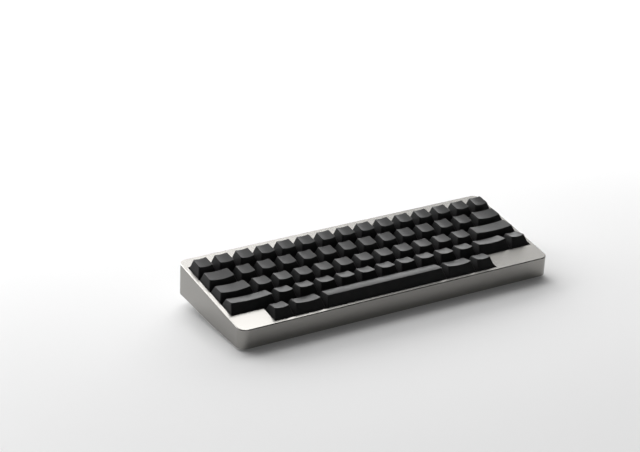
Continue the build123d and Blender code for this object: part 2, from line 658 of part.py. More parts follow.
# Upper switch housing: a tapered shell with a window for the stem
with BuildPart() as upper_housing:
    with BuildSketch(Plane.XY.offset(FLANGE_TOP)):
        Rectangle(UPPER_BASE, UPPER_BASE)
    with BuildSketch(Plane.XY.offset(HOUSING_TOP)):
        Rectangle(*UPPER_TOP)
    loft()
    offset(amount=-UPPER_WALL, openings=upper_housing.faces().sort_by(Axis.Z)[0])
    with BuildSketch(Plane.XY.offset(HOUSING_TOP)):
        Rectangle(*UPPER_HOLE)
    extrude(amount=-2 * UPPER_WALL, mode=Mode.SUBTRACT)
save(Compound(children=at_keys(upper_housing.part, SWITCH_PLACES)), "switch_upper_housings")

# Switch stem with the cross that carries the cap
stem_body_bottom = HOUSING_TOP - STEM_BODY_LENGTH
flange_top_z = HOUSING_TOP - UPPER_WALL - STEM_CLEARANCE


def cross(width, arm):
    """Cross of two bars, drawn in the open sketch."""
    Rectangle(width, arm)
    Rectangle(arm, width)


with BuildPart() as switch_stem:
    with BuildSketch(Plane.XY.offset(stem_body_bottom)):
        Rectangle(*STEM_BODY)
    extrude(amount=STEM_BODY_LENGTH)
    with BuildSketch(Plane.XY.offset(flange_top_z)):
        Rectangle(*STEM_FLANGE)
    extrude(amount=-STEM_FLANGE_THICKNESS)
    with BuildSketch(Plane.XY.offset(stem_body_bottom)):
        Circle(SHAFT_RADIUS)
    extrude(amount=-SHAFT_LENGTH)
    with BuildSketch(Plane.XY.offset(HOUSING_TOP)):
        cross(CROSS_WIDTH, CROSS_ARM)
    extrude(amount=CROSS_HEIGHT)

# Springs, as plain tubes round the guides
with BuildPart() as spring:
    with BuildSketch(Plane.XY.offset(housing_floor_z)):
        Circle(SPRING_OUTER_RADIUS)
        Circle(SPRING_OUTER_RADIUS - SPRING_WIRE, mode=Mode.SUBTRACT)
    extrude(amount=stem_body_bottom - SPRING_GAP - housing_floor_z)
save(Compound(children=at_keys(spring.part, SWITCH_PLACES)), "switch_springs")

# Stabiliser housing: a tube through the plate, with a slot at the rear for the wire
wire_z = -PLATE_DROP + WIRE_ABOVE_PLATE + WIRE_RADIUS
slot_bottom_z = wire_z - WIRE_RADIUS
stabiliser_top_z = STABILISER_RISE - PLATE_DROP

with BuildPart() as stabiliser_housing:
    with BuildSketch(Plane.XY.offset(BOARD_TOP)):
        Rectangle(*STABILISER_BODY)
        Rectangle(*[size - 2 * STABILISER_WALL for size in STABILISER_BODY], mode=Mode.SUBTRACT)
    extrude(amount=stabiliser_top_z - BOARD_TOP)
    with BuildSketch(Plane.XY.offset(slot_bottom_z)):
        with Locations((0, STABILISER_BODY[1] / 2)):
            Rectangle(2 * (WIRE_RADIUS + WIRE_CLEARANCE), 3 * STABILISER_WALL)
    extrude(amount=stabiliser_top_z - slot_bottom_z, mode=Mode.SUBTRACT)
save(Compound(children=at_keys(stabiliser_housing.part, STABILISER_PLACES)), "stabiliser_housings")

with BuildPart() as stabiliser_stem:
    with BuildSketch(Plane.XY.offset(HOUSING_TOP)):
        Rectangle(*STABILISER_STEM)
    extrude(amount=-STABILISER_STEM_LENGTH)
    with BuildSketch(Plane.XY.offset(HOUSING_TOP)):
        cross(CROSS_WIDTH, CROSS_ARM)
    extrude(amount=CROSS_HEIGHT)


@cache
def stabiliser_wire(units):
    """Bent wire between the two stabilisers of a wide key, its legs pointing to the user."""
    half_spread = STABILISER_SPREAD[units] / 2
    leg_end = STABILISER_STEM[1] / 2 + WIRE_END_GAP
    with BuildPart() as wire:
        with BuildLine(Plane.XY.offset(wire_z)):
            FilletPolyline(
                (-half_spread, leg_end),
                (-half_spread, WIRE_Y),
                (half_spread, WIRE_Y),
                (half_spread, leg_end),
                radius=WIRE_BEND,
            )
        with BuildSketch(Plane((-half_spread, leg_end, wire_z), z_dir=(0, 1, 0))):
            Circle(WIRE_RADIUS)
        sweep()
    return wire.part


save(
    Compound(children=[
        wire for x, y, units in STABILISED for wire in at_keys(stabiliser_wire(units), [(x, y)])
    ]),
    "stabiliser_wires",
)


def trapezoid(plane, front_width, rear_width, length, radius):
    """Face with rounded corners, its middle in the origin of the plane."""
    with BuildSketch(plane) as face:
        with BuildLine():
            Polyline(
                (-front_width / 2, -length / 2),
                (front_width / 2, -length / 2),
                (rear_width / 2, length / 2),
                (-rear_width / 2, length / 2),
                close=True,
            )
        make_face()
        fillet(face.vertices(), radius)
    return face.sketch


def mount_places(units):
    """Where the stems of a key stand, from its middle."""
    if units not in STABILISER_SPREAD:
        return [(0, 0)]
    return [(side * STABILISER_SPREAD[units] / 2, 0) for side in (-1, 0, 1)]


def cap_relief(units):
    """Height of the crown and depth of the dish in the top of a cap."""
    if units == SPACE_UNITS:
        return SPACE_CROWN, 0.0
    if units == 1:
        return 0.0, CAP_DISH
    return 0.0, WIDE_CAP_DISH


@cache
def keycap(row, units):
    """Hollow cap of a key, its middle at x = y = 0 and the deck as z = 0."""
    (rear_y, rear_z), (front_y, front_z), rear_inset, front_inset = CAP_TOPS[row]
    pitch_width = units * UNIT
    base_width = pitch_width - CAP_SPACING
    base_length = UNIT - CAP_SPACING
    front_width = pitch_width - 2 * front_inset
    rear_width = pitch_width - 2 * rear_inset
    slope_length = hypot(rear_y - front_y, rear_z - front_z)
    crown, dish = cap_relief(units)
    base = Plane.XY.offset(CAP_BASE)
    top = Plane(
        origin=(0, (rear_y + front_y) / 2, (rear_z + front_z) / 2),
        x_dir=(1, 0, 0),
        z_dir=(0, front_z - rear_z, rear_y - front_y),
    )
    with BuildPart() as cap:
        loft([
            trapezoid(base, base_width, base_width, base_length, CAP_BASE_RADIUS),
            trapezoid(top.offset(crown), front_width, rear_width, slope_length, CAP_TOP_RADIUS),
        ])
        if crown:
            with BuildSketch(Plane.YZ):
                with BuildLine():
                    middle = top.from_local_coords((0, 0, crown))
                    ThreePointArc((rear_y, rear_z), (middle.Y, middle.Z), (front_y, front_z))
                    Polyline(
                        (front_y, front_z), (-UNIT, front_z), (-UNIT, 2 * CAP_BASE),
                        (UNIT, 2 * CAP_BASE), (UNIT, rear_z), (rear_y, rear_z),
                    )
                make_face()
            extrude(amount=pitch_width, both=True, mode=Mode.INTERSECT)
        else:
            dish_radius = front_width ** 2 / (8 * dish) + dish / 2
            with BuildSketch(Plane(top.origin, x_dir=top.x_dir, z_dir=-top.y_dir)):
                with Locations((0, dish_radius - dish)):
                    Circle(dish_radius)
            extrude(amount=UNIT, both=True, mode=Mode.SUBTRACT)
        fillet(cap.faces().filter_by(GeomType.CYLINDER).edges(), CAP_EDGE)
        # hollow inside, with a round mount for each stem
        loft(
            [
                trapezoid(
                    base, base_width - 2 * CAP_WALL, base_width - 2 * CAP_WALL, base_length - 2 * CAP_WALL,
                    CAP_BASE_RADIUS,
                ),
                trapezoid(
                    top.offset(-dish - CAP_ROOF), front_width - CAP_WALL, rear_width - CAP_WALL,
                    slope_length - CAP_WALL, CAP_TOP_RADIUS,
                ),
            ],
            mode=Mode.SUBTRACT,
        )
        with BuildSketch(base.offset(MOUNT_ABOVE_BASE)):
            with Locations(*mount_places(units)):
                Circle(MOUNT_RADIUS)
        extrude(until=Until.NEXT)
        with BuildSketch(base.offset(MOUNT_ABOVE_BASE)):
            with Locations(*mount_places(units)):
                cross(CROSS_WIDTH + 2 * MOUNT_FIT, CROSS_ARM + 2 * MOUNT_FIT)
        extrude(amount=MOUNT_DEPTH, mode=Mode.SUBTRACT)
    return cap.part


def key_solids(row, x, y, units):
    """Cap and stems of one key, in place."""
    solids = at_keys(keycap(row, units), [(x, y)]) + at_keys(switch_stem.part, [(x, y)])
    for offset_x, offset_y in mount_places(units):
        if offset_x:
            solids += at_keys(stabiliser_stem.part, [(x + offset_x, y + offset_y)])
    return solids


# Keys: each one a cap on its stem. The keys of one row share a node.
grouped_solids = []
for row, name, x, y, units in ALL_KEYS:
    if row == GROUPED_ROW:
        grouped_solids += key_solids(row, x, y, units)
    else:
        save(Compound(children=key_solids(row, x, y, units)), f"key_{name}")
save(Compound(children=grouped_solids), "number_row_keys")
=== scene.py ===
# %% [markdown]
# # Compact keyboard
# A low metal wedge with sixty blank keys in five rows, upright feet under its rear edge and a long round
# bar between them. The solids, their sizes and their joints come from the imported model. This file adds
# what the eye needs: the finish of every surface, the small rounded pieces, the light and the camera.
# Each step is explained in a cell like this one before its code.

import json
import math

import bmesh
import bpy
from mathutils import Matrix, Vector


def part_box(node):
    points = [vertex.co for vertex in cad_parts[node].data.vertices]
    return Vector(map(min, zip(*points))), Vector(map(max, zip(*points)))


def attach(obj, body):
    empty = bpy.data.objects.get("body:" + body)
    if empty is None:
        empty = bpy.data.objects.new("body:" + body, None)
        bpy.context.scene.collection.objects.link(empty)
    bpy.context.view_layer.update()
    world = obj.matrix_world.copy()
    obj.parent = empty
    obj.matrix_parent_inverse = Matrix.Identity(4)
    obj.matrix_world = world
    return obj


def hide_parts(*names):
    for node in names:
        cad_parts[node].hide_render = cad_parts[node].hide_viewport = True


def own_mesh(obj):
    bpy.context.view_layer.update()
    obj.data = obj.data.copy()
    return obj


MM = 0.001                       # a millimetre in metres

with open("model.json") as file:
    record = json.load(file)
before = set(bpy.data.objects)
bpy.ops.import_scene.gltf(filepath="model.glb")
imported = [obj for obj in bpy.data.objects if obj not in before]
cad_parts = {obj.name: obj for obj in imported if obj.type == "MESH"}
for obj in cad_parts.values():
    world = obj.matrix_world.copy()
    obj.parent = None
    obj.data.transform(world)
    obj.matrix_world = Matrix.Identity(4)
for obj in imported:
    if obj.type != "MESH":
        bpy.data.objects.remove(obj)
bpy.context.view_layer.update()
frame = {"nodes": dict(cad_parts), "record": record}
nodes = frame["nodes"]

# %% [markdown]
# ## The camera
# The picture was taken with a long lens from the front left, a little above the keys. A camera could be
# moved by hand until the outline fits. Here its place was worked out: a pinhole camera was fitted to the
# corners of the keys and of the case, in metres and in the keyboard's own frame, because sixty equal keys
# are a good ruler. The picture isn't cropped, so the lens needs no shift.

# %% Camera
CAMERA_PLACE = (-0.7820, -1.2701, 0.6694)
CAMERA_HEADING = -30.18          # degrees, turned to the right from the keyboard's +Y
CAMERA_PITCH = 22.34             # degrees below the horizon
CAMERA_LENS = 110.9              # millimetres
SENSOR_WIDTH = 36                # millimetres
FAR_END = 50                     # metres, beyond the wall

camera = bpy.data.objects.new("camera", bpy.data.cameras.new("camera"))
bpy.context.scene.collection.objects.link(camera)
camera.location = CAMERA_PLACE
camera.rotation_euler = (math.radians(90 - CAMERA_PITCH), 0, math.radians(CAMERA_HEADING))
camera.data.lens = CAMERA_LENS
camera.data.sensor_width = SENSOR_WIDTH
camera.data.clip_end = FAR_END
bpy.context.scene.camera = camera
print("camera", round(camera.location.length, 3), "m from the keyboard")

# %% [markdown]
# ## Patterns for the finishes
# Every finish is a small tree of nodes on one Principled shader. Pictures of surfaces could be wrapped
# round the pieces, but they need unwrapping and end at some sharpness. Noise on Object coordinates needs
# neither: the coordinates are metres, so a scale of 4000 gives grains of a quarter of a millimetre on every
# piece alike. The helpers below make such a noise and lead it to the bump, to the roughness or to the colour.

# %% A material and its noise
def new_finish(name, colour, roughness, metallic=0.0):
    """A material with one Principled shader. Returns the material, its tree and the shader."""
    finish = bpy.data.materials.new(name)
    finish.use_nodes = True
    tree = finish.node_tree
    shader = tree.nodes["Principled BSDF"]
    shader.inputs["Base Color"].default_value = (*colour, 1)
    shader.inputs["Roughness"].default_value = roughness
    shader.inputs["Metallic"].default_value = metallic
    finish.diffuse_color = (*colour, 1)
    return finish, tree, shader


def grain(tree, scale, detail=2.0, stretch=(1, 1, 1)):
    """Noise on Object coordinates, its scale in grains per metre. A stretch draws it out to lines."""
    place = tree.nodes.new("ShaderNodeTexCoord")
    mapping = tree.nodes.new("ShaderNodeMapping")
    mapping.inputs["Scale"].default_value = stretch
    noise = tree.nodes.new("ShaderNodeTexNoise")
    noise.inputs["Scale"].default_value = scale
    noise.inputs["Detail"].default_value = detail
    tree.links.new(place.outputs["Object"], mapping.inputs["Vector"])
    tree.links.new(mapping.outputs["Vector"], noise.inputs["Vector"])
    return noise

# %% Relief from a noise
def relief(tree, shader, noise, strength, depth, below=None):
    """Leads a noise to the bump, on top of another relief if there is one. The depth is in millimetres."""
    bump = tree.nodes.new("ShaderNodeBump")
    bump.inputs["Strength"].default_value = strength
    bump.inputs["Distance"].default_value = depth * MM
    tree.links.new(noise.outputs["Fac"], bump.inputs["Height"])
    if below is not None:
        tree.links.new(below.outputs["Normal"], bump.inputs["Normal"])
    tree.links.new(bump.outputs["Normal"], shader.inputs["Normal"])
    return bump

# %% [markdown]
# A noise stays near the middle of its range, so the helpers that follow stretch its middle part, from 0.3 to
# 0.7, over the wanted numbers or colours. The ends run out softly, because a hard end would show as a line.

# %% Numbers and colours from a noise
NOISE_MIDDLE = (0.3, 0.7)


def vary_number(tree, noise, low, high, socket):
    """Spreads a noise over a range of numbers."""
    reach = tree.nodes.new("ShaderNodeMapRange")
    reach.interpolation_type = "SMOOTHSTEP"
    reach.inputs["From Min"].default_value, reach.inputs["From Max"].default_value = NOISE_MIDDLE
    reach.inputs["To Min"].default_value = low
    reach.inputs["To Max"].default_value = high
    tree.links.new(noise.outputs["Fac"], reach.inputs["Value"])
    tree.links.new(reach.outputs["Result"], socket)


def vary_colour(tree, noise, dark, light, socket, middle=NOISE_MIDDLE):
    """Spreads a noise over a range of colours."""
    ramp = tree.nodes.new("ShaderNodeValToRGB")
    ramp.color_ramp.interpolation = "EASE"
    for stop, position, colour in zip(ramp.color_ramp.elements, middle, (dark, light)):
        stop.position = position
        stop.color = (*colour, 1)
    tree.links.new(noise.outputs["Fac"], ramp.inputs["Fac"])
    tree.links.new(ramp.outputs["Color"], socket)


def cloud_over(tree, shader, noise, colour, roughness, tint, gloss):
    """Lets a noise change the colour by a share, and the roughness by a number, up and down."""
    darker, lighter = [[c * share for c in colour] for share in (1 - tint, 1 + tint)]
    vary_number(tree, noise, roughness - gloss, roughness + gloss, shader.inputs["Roughness"])
    vary_colour(tree, noise, darker, lighter, shader.inputs["Base Color"])

# %% [markdown]
# ## The metal of the case
# The case is milled aluminium, blasted with fine beads and anodised in a warm silver grey. It has no grain
# that the eye can see from arm's length, only a soft sheen that is bright where the surface mirrors the
# light and dark where it mirrors the dark side of the room. A brushed finish would show long lines, so the
# metal gets round grains: a very fine relief, and on top of it slow clouds that change colour and gloss by
# a few hundredths, as anodised surfaces do.

# %% Blasted metal
BEAD_GRAINS = 5200               # grains per metre, a fifth of a millimetre each
PIT_GRAINS = BEAD_GRAINS / 3.5   # wider and shallower pits under the grains
CLOUDS = 22                      # clouds per metre, about five centimetres each


def blasted_metal(name, colour, roughness):
    """Fine blasted and anodised metal: an even satin with a grain that shows only from near by."""
    finish, tree, shader = new_finish(name, colour, roughness, metallic=1.0)
    beads = grain(tree, BEAD_GRAINS, detail=3.0)
    pits = grain(tree, PIT_GRAINS, detail=2.0)
    wide = relief(tree, shader, pits, strength=0.01, depth=0.06)
    relief(tree, shader, beads, strength=0.035, depth=0.04, below=wide)
    clouds = grain(tree, CLOUDS, detail=1.0)
    cloud_over(tree, shader, clouds, colour, roughness, tint=0.02, gloss=0.01)
    return finish


SILVER = (0.302, 0.294, 0.279)
# The feet get a darker silver than the case: painted shade, standing for the shade under the rear of the
# case.
SILVER_DARKENED_AS_SHADE = (0.11, 0.108, 0.105)
case_metal = blasted_metal("case_metal", SILVER, roughness=0.26)
foot_metal_painted_shade = blasted_metal("foot_metal_painted_shade", SILVER_DARKENED_AS_SHADE, roughness=0.36)
print("made", case_metal.name, "and", foot_metal_painted_shade.name)

# %% [markdown]
# ## The plastic of the keycaps
# The caps are moulded from a dense, matt, almost black plastic. The mould was eroded with sparks, which
# leaves a skin of round pimples a few hundredths of a millimetre high. They break up the reflection of the
# light, so the tops look dusty grey and the sides stay black. One smooth grey would look like paint, so two
# sizes of grain share the relief, and the gloss changes a little over each cap. The plastic mirrors less
# than glass does, so its specular level is low.

# %% Moulded plastic
SPARK_GRAINS = 3600              # pimples per metre, about a quarter of a millimetre each
SPARK_DEPTH = 0.03               # millimetres
CAP_CLOUDS = 90                  # clouds per metre, one or two across a cap


def moulded_plastic(name, colour, roughness, shine, grains=SPARK_GRAINS, depth=SPARK_DEPTH):
    """Matt moulded plastic with the texture that a spark-eroded mould leaves."""
    finish, tree, shader = new_finish(name, colour, roughness)
    shader.inputs["Specular IOR Level"].default_value = shine
    coarse = grain(tree, grains / 3, detail=2.0)
    fine = grain(tree, grains, detail=2.0)
    first = relief(tree, shader, coarse, strength=0.12, depth=2 * depth)
    relief(tree, shader, fine, strength=0.25, depth=depth, below=first)
    clouds = grain(tree, CAP_CLOUDS, detail=3.0)
    cloud_over(tree, shader, clouds, colour, roughness, tint=0.1, gloss=0.03)
    return finish


NEAR_BLACK = (0.024, 0.024, 0.0245)
BLACK = (0.012, 0.012, 0.012)
RUBBER_BLACK = (0.02, 0.02, 0.02)
cap_plastic = moulded_plastic("cap_plastic", NEAR_BLACK, roughness=0.46, shine=0.14)
housing_plastic = moulded_plastic("housing_plastic", BLACK, roughness=0.5, shine=0.3)
pad_rubber = moulded_plastic(
    "pad_rubber", RUBBER_BLACK, roughness=0.75, shine=0.3, grains=1500, depth=0.1
)
print("made", cap_plastic.name, housing_plastic.name, pad_rubber.name)

# %% [markdown]
# ## Steel and gold
# Screws, springs, wires and the shell of the connector are steel, and its contacts are gold plated. A drawn
# wire has fine lines along its length, and a screw is turned and blackened, so these metals get a noise that
# is drawn out in one direction in place of round grains. The stretch shrinks the coordinates along that
# direction, which makes the grains long. Stains of two or three millimetres vary the gloss and the colour.

# %% Drawn metal
DRAWN_LINES = 9000               # lines per metre, a ninth of a millimetre each
STAINS = 400                     # stains per metre
ALONG_X = (0.15, 1, 1)
ALONG_Z = (1, 1, 0.2)


def drawn_metal(name, colour, roughness, along=ALONG_X):
    """Metal with fine lines in one direction."""
    finish, tree, shader = new_finish(name, colour, roughness, metallic=1.0)
    lines = grain(tree, DRAWN_LINES, detail=2.0, stretch=along)
    relief(tree, shader, lines, strength=0.1, depth=0.03)
    stains = grain(tree, STAINS, detail=3.0)
    cloud_over(tree, shader, stains, colour, roughness, tint=0.12, gloss=0.05)
    return finish


BLACKENED_STEEL = (0.085, 0.084, 0.082)
BRIGHT_STEEL = (0.45, 0.45, 0.45)
# The connector's nickel is darkened to near black: painted shade, standing for the shade inside the port's
# opening.
NICKEL_DARKENED_AS_SHADE = (0.05, 0.05, 0.052)
GOLD = (0.75, 0.52, 0.20)
screw_steel = drawn_metal("screw_steel", BLACKENED_STEEL, roughness=0.4, along=ALONG_Z)
wire_steel = drawn_metal("wire_steel", BRIGHT_STEEL, roughness=0.3)
port_shell_painted_shade = drawn_metal("port_shell_painted_shade", NICKEL_DARKENED_AS_SHADE, roughness=0.45)
contact_gold = drawn_metal("contact_gold", GOLD, roughness=0.25)
print("made", screw_steel.name, wire_steel.name, port_shell_painted_shade.name, contact_gold.name)

# %% [markdown]
# ## Powder coat and board
# The plate under the keys is powder coated, which leaves a low orange peel of a millimetre. The boards are
# covered with a dark lacquer, and the copper under it shows as slightly lighter lines. They could be drawn
# one by one, but the closed keyboard hides its boards. A noise that is drawn out along X and pressed into
# two steps is enough.

# %% Powder coat
PEEL = 900                       # dimples per metre
COAT_ROUGHNESS = (0.5, 0.6)

plate_coat, tree, shader = new_finish("plate_coat", colour=(0.02, 0.02, 0.021), roughness=0.55)
peel = grain(tree, PEEL, detail=1.0)
relief(tree, shader, peel, strength=0.3, depth=0.08)
vary_number(tree, peel, *COAT_ROUGHNESS, shader.inputs["Roughness"])
print("made", plate_coat.name)

# %% Lacquer of the boards
TRACKS = 500                     # copper lines per metre, across them
TRACK_STRETCH = (0.12, 1, 1)
TRACK_STEP = (0.49, 0.51)        # narrow, so the copper lines get sharp edges
LACQUER = (0.008, 0.011, 0.010)
LACQUER_ON_COPPER = (0.020, 0.028, 0.022)

board_lacquer, tree, shader = new_finish("board_lacquer", colour=(0.01, 0.014, 0.012), roughness=0.35)
tracks = grain(tree, TRACKS, detail=0.0, stretch=TRACK_STRETCH)
vary_colour(tree, tracks, LACQUER, LACQUER_ON_COPPER, shader.inputs["Base Color"], TRACK_STEP)
relief(tree, shader, tracks, strength=0.2, depth=0.03)
print("made", board_lacquer.name)

# %% [markdown]
# ## Every solid gets its finish
# The solids come without a finish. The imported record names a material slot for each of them, and the
# finishes follow these slots. A list of sixty solids would do the same, but a solid that is added to a slot
# later gets its finish by itself this way.

# %% Finish of each slot
FINISH_OF_SLOT = {
    "case": case_metal, "bar": case_metal, "feet": foot_metal_painted_shade, "pads": pad_rubber,
    "screws": screw_steel, "plate": plate_coat, "board": board_lacquer, "connector": port_shell_painted_shade,
    "housings": housing_plastic, "springs": wire_steel, "wires": wire_steel, "keycaps": cap_plastic,
}
for part in frame["record"]["subparts"]:
    surface = nodes[part["node"]].data.materials
    surface.clear()
    surface.append(FINISH_OF_SLOT[part["material_slot"]])

# %% [markdown]
# ## Places on the keyboard
# The case and everything in it are drawn on the deck, the flat top of the case, which leans ten degrees
# towards the user. A matrix for the deck, one for its underside and one for the rear face let each small
# piece be modelled flat and upright at the origin and then be carried to its place by its mesh, so that its
# object stays at the origin.

# %% The deck, the underside and the rear face
TILT = math.radians(10)
WALL_LEAN = math.radians(5)      # lean of the front and rear face from square to the deck
DECK_PLACE = Vector((0, -5.826, 27.311)) * MM
REAR_Y = 59.75                   # rear edge of the deck, in millimetres on the deck
REAR_LOW = (57.344, -27.5)       # lower edge of the rear face: place on the deck and height from it
FRONT_LOW = (-51.920, -16.8)     # lower edge of the front face
KINK = (-6.0, -22.3)             # where the underside changes its slope


def moved(x, y, z):
    """Shift in millimetres."""
    return Matrix.Translation(Vector((x, y, z)) * MM)


def turned(angle):
    """Turn about the long axis of the keyboard."""
    return Matrix.Rotation(angle, 4, "X")


deck = Matrix.Translation(DECK_PLACE) @ turned(TILT)
rear_slope = math.atan2(KINK[1] - REAR_LOW[1], REAR_LOW[0] - KINK[0])
front_slope = math.atan2(FRONT_LOW[1] - KINK[1], KINK[0] - FRONT_LOW[0])
rear_underside = deck @ moved(0, *REAR_LOW) @ turned(-rear_slope)
front_underside = deck @ moved(0, *FRONT_LOW) @ turned(-front_slope)
rear_face = deck @ moved(0, REAR_Y, 0) @ turned(-math.radians(90) - WALL_LEAN)
UPSIDE_DOWN = turned(math.pi)
print("slopes of the underside:", round(math.degrees(front_slope), 2), round(math.degrees(rear_slope), 2))

# %% [markdown]
# ## Working on a mesh in code
# At the screen one clicks the faces or edges to work on. In code they have to be found by their place or
# direction, and everything else must be deselected first, because a new primitive is selected all over. Two
# helpers open a piece and pick its parts, and two more close it and copy it.

# %% Opening a piece and picking parts of it
EQUAL_WITHIN = 0.001 * MM        # lengths that differ by less count as equal
MERGE_WITHIN = 0.002 * MM        # vertices that are closer become one


def start(name):
    """Names the primitive that was just added, applies its size and opens it with nothing selected."""
    piece = bpy.context.object
    piece.name = name
    bpy.ops.object.transform_apply(location=True, rotation=True, scale=True)
    bpy.ops.object.mode_set(mode="EDIT")
    bpy.ops.mesh.select_all(action="DESELECT")
    return piece


def pick(piece, kind, wanted):
    """Selects the vertices, edges or faces of an open piece that pass a test, and nothing else."""
    bpy.ops.mesh.select_all(action="DESELECT")
    bpy.ops.mesh.select_mode(type={"verts": "VERT", "edges": "EDGE", "faces": "FACE"}[kind])
    mesh = bmesh.from_edit_mesh(piece.data)
    for part in getattr(mesh, kind):
        part.select_set(bool(wanted(part)))
    mesh.select_flush_mode()
    bmesh.update_edit_mesh(piece.data)


def at_height(height):
    """Test for edges and faces that lie level at a height, in metres."""
    return lambda part: all(abs(vertex.co.z - height) < EQUAL_WITHIN for vertex in part.verts)


def upright(edge):
    """Test for edges that run up."""
    return abs(edge.verts[0].co.z - edge.verts[1].co.z) > EQUAL_WITHIN

# %% Closing a piece and copying it
def close(piece, finish, angle=35):
    """Closes a piece, smooths its edges up to an angle in degrees and gives it its finish."""
    bpy.ops.mesh.select_all(action="SELECT")
    bpy.ops.mesh.remove_doubles(threshold=MERGE_WITHIN)
    bpy.ops.mesh.normals_make_consistent(inside=False)
    bpy.ops.object.mode_set(mode="OBJECT")
    bpy.ops.object.shade_smooth_by_angle(angle=math.radians(angle))
    piece.data.materials.clear()
    piece.data.materials.append(finish)


def copy_to(piece, name, place):
    """A copy with its own mesh, carried to its place by the mesh."""
    double = piece.copy()
    double.data = piece.data.copy()
    double.name = name
    bpy.context.scene.collection.objects.link(double)
    double.data.transform(place)
    return double


def fit(piece, node):
    """Lets a piece ride on the case in the place of a solid, which it hides."""
    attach(piece, "case")
    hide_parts(node)


def size_of(piece):
    """Width, depth and height in millimetres, for printing."""
    return [round(size / MM, 1) for size in piece.dimensions]

# %% [markdown]
# ## Feet and pads
# Two upright feet of blasted metal lift the rear edge. Their silver is darker than the case's: painted shade,
# standing for the shade that falls under the rear of the case. Seen from above each is a pill, and its lower
# rim is rounded so that it doesn't scratch. Each stands on a thin rubber pad, and two more rubber pads of the
# same outline sit under the front edge. A pill could be spun up from a half circle. It is quicker to start
# from a box and bevel its four upright edges by half its width, which makes round ends. The slanting top
# comes from a cut along the underside of the case, and a second, small bevel rounds the lower rim.

# %% Pills
ROUND_STEPS = 14                 # of a quarter circle at the ends
RIM_STEPS = 4
NEARLY = 0.9999                  # a bevel by the full half width would leave edges without length
SHORT_EDGE = 0.005               # millimetres, longer than the edges that the bevel leaves


def pill(name, centre, length, width, bottom, top, rim, cut=None):
    """An upright pill in millimetres. A cut is a plane above which nothing is left."""
    bpy.ops.object.select_all(action="DESELECT")
    middle = Vector((centre[0], centre[1], (bottom + top) / 2)) * MM
    bpy.ops.mesh.primitive_cube_add(
        size=1, location=middle, scale=(length * MM, width * MM, (top - bottom) * MM)
    )
    piece = start(name)
    pick(piece, "edges", upright)
    bpy.ops.mesh.bevel(offset=width * MM / 2 * NEARLY, segments=ROUND_STEPS, profile=0.5)
    if cut is not None:
        bpy.ops.mesh.select_all(action="SELECT")
        bpy.ops.mesh.bisect(
            plane_co=cut.translation, plane_no=cut.col[2].to_3d(), use_fill=True, clear_outer=True
        )
    bpy.ops.mesh.select_all(action="SELECT")
    bpy.ops.mesh.remove_doubles(threshold=SHORT_EDGE * MM)
    pick(piece, "edges", at_height(bottom * MM))
    bpy.ops.mesh.bevel(offset=rim * MM, segments=RIM_STEPS, profile=0.5)
    return piece

# %% [markdown]
# The feet and pads take their places from the boxes of the solids. Both pieces with a cut start higher than
# the underside of the case, so that the cut gives them their slanting top.

# %% Rear feet
SIDES = ((-1, "left"), (1, "right"))
FOOT_LENGTH = 24.0
FOOT_RIM = 0.8
PAD_HEIGHT = 0.6
ABOVE_CASE = 16.0                # higher than the underside at the feet

low, high = [Vector(corner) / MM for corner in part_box("rear_feet")]
foot_x = high.x - FOOT_LENGTH / 2
foot_y = (low.y + high.y) / 2
foot_width = high.y - low.y
for side, word in SIDES:
    foot = pill(
        f"rear_foot_{word}", (side * foot_x, foot_y), FOOT_LENGTH, foot_width,
        bottom=PAD_HEIGHT, top=ABOVE_CASE, rim=FOOT_RIM, cut=rear_underside,
    )
    close(foot, foot_metal_painted_shade)
    fit(foot, "rear_feet")
    print(foot.name, size_of(foot), "mm")

# %% Rubber pads
PAD_INSET = 0.8
REAR_PAD_RIM = 0.2
FRONT_PAD_RIM = 0.5

low, high = [Vector(corner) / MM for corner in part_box("rubber_pads")]
pad_y = low.y + foot_width / 2
for side, word in SIDES:
    rear_pad = pill(
        f"rear_pad_{word}", (side * foot_x, foot_y),
        FOOT_LENGTH - 2 * PAD_INSET, foot_width - 2 * PAD_INSET,
        bottom=0.0, top=PAD_HEIGHT, rim=REAR_PAD_RIM,
    )
    close(rear_pad, pad_rubber)
    fit(rear_pad, "rubber_pads")
    front_pad = pill(
        f"front_pad_{word}", (side * foot_x, pad_y), FOOT_LENGTH, foot_width,
        bottom=0.0, top=ABOVE_CASE, rim=FRONT_PAD_RIM, cut=front_underside,
    )
    close(front_pad, pad_rubber)
    fit(front_pad, "rubber_pads")
    print(rear_pad.name, size_of(rear_pad), front_pad.name, size_of(front_pad), "mm")

# %% [markdown]
# ## Screws
# Four kinds of screw hold the keyboard together, all with a flat round head and a hexagon socket. A real
# head is turned, so its rim is rounded, and the socket ends in a shallow cone from the drill. The head
# starts as a cylinder whose rim is bevelled. Its top face is taken out, a hexagon is put there in its place,
# and a bridge between the two outlines makes the ring that a round head with a six-sided hole has. The
# hexagon is then extruded down and closed with a point. The shank is inset and extruded from the underside.

# %% Head and shank
HEAD_VERTICES = 36
HEAD_RIM = 0.25
HEAD_RIM_STEPS = 3
TIP = 0.4                        # length of the narrowing end
TIP_SHARE = 0.75                 # width that is left at the end


def extrude(height):
    """Extrudes what is selected up or down, in millimetres."""
    bpy.ops.mesh.extrude_region_move(TRANSFORM_OT_translate={"value": (0, 0, height * MM)})


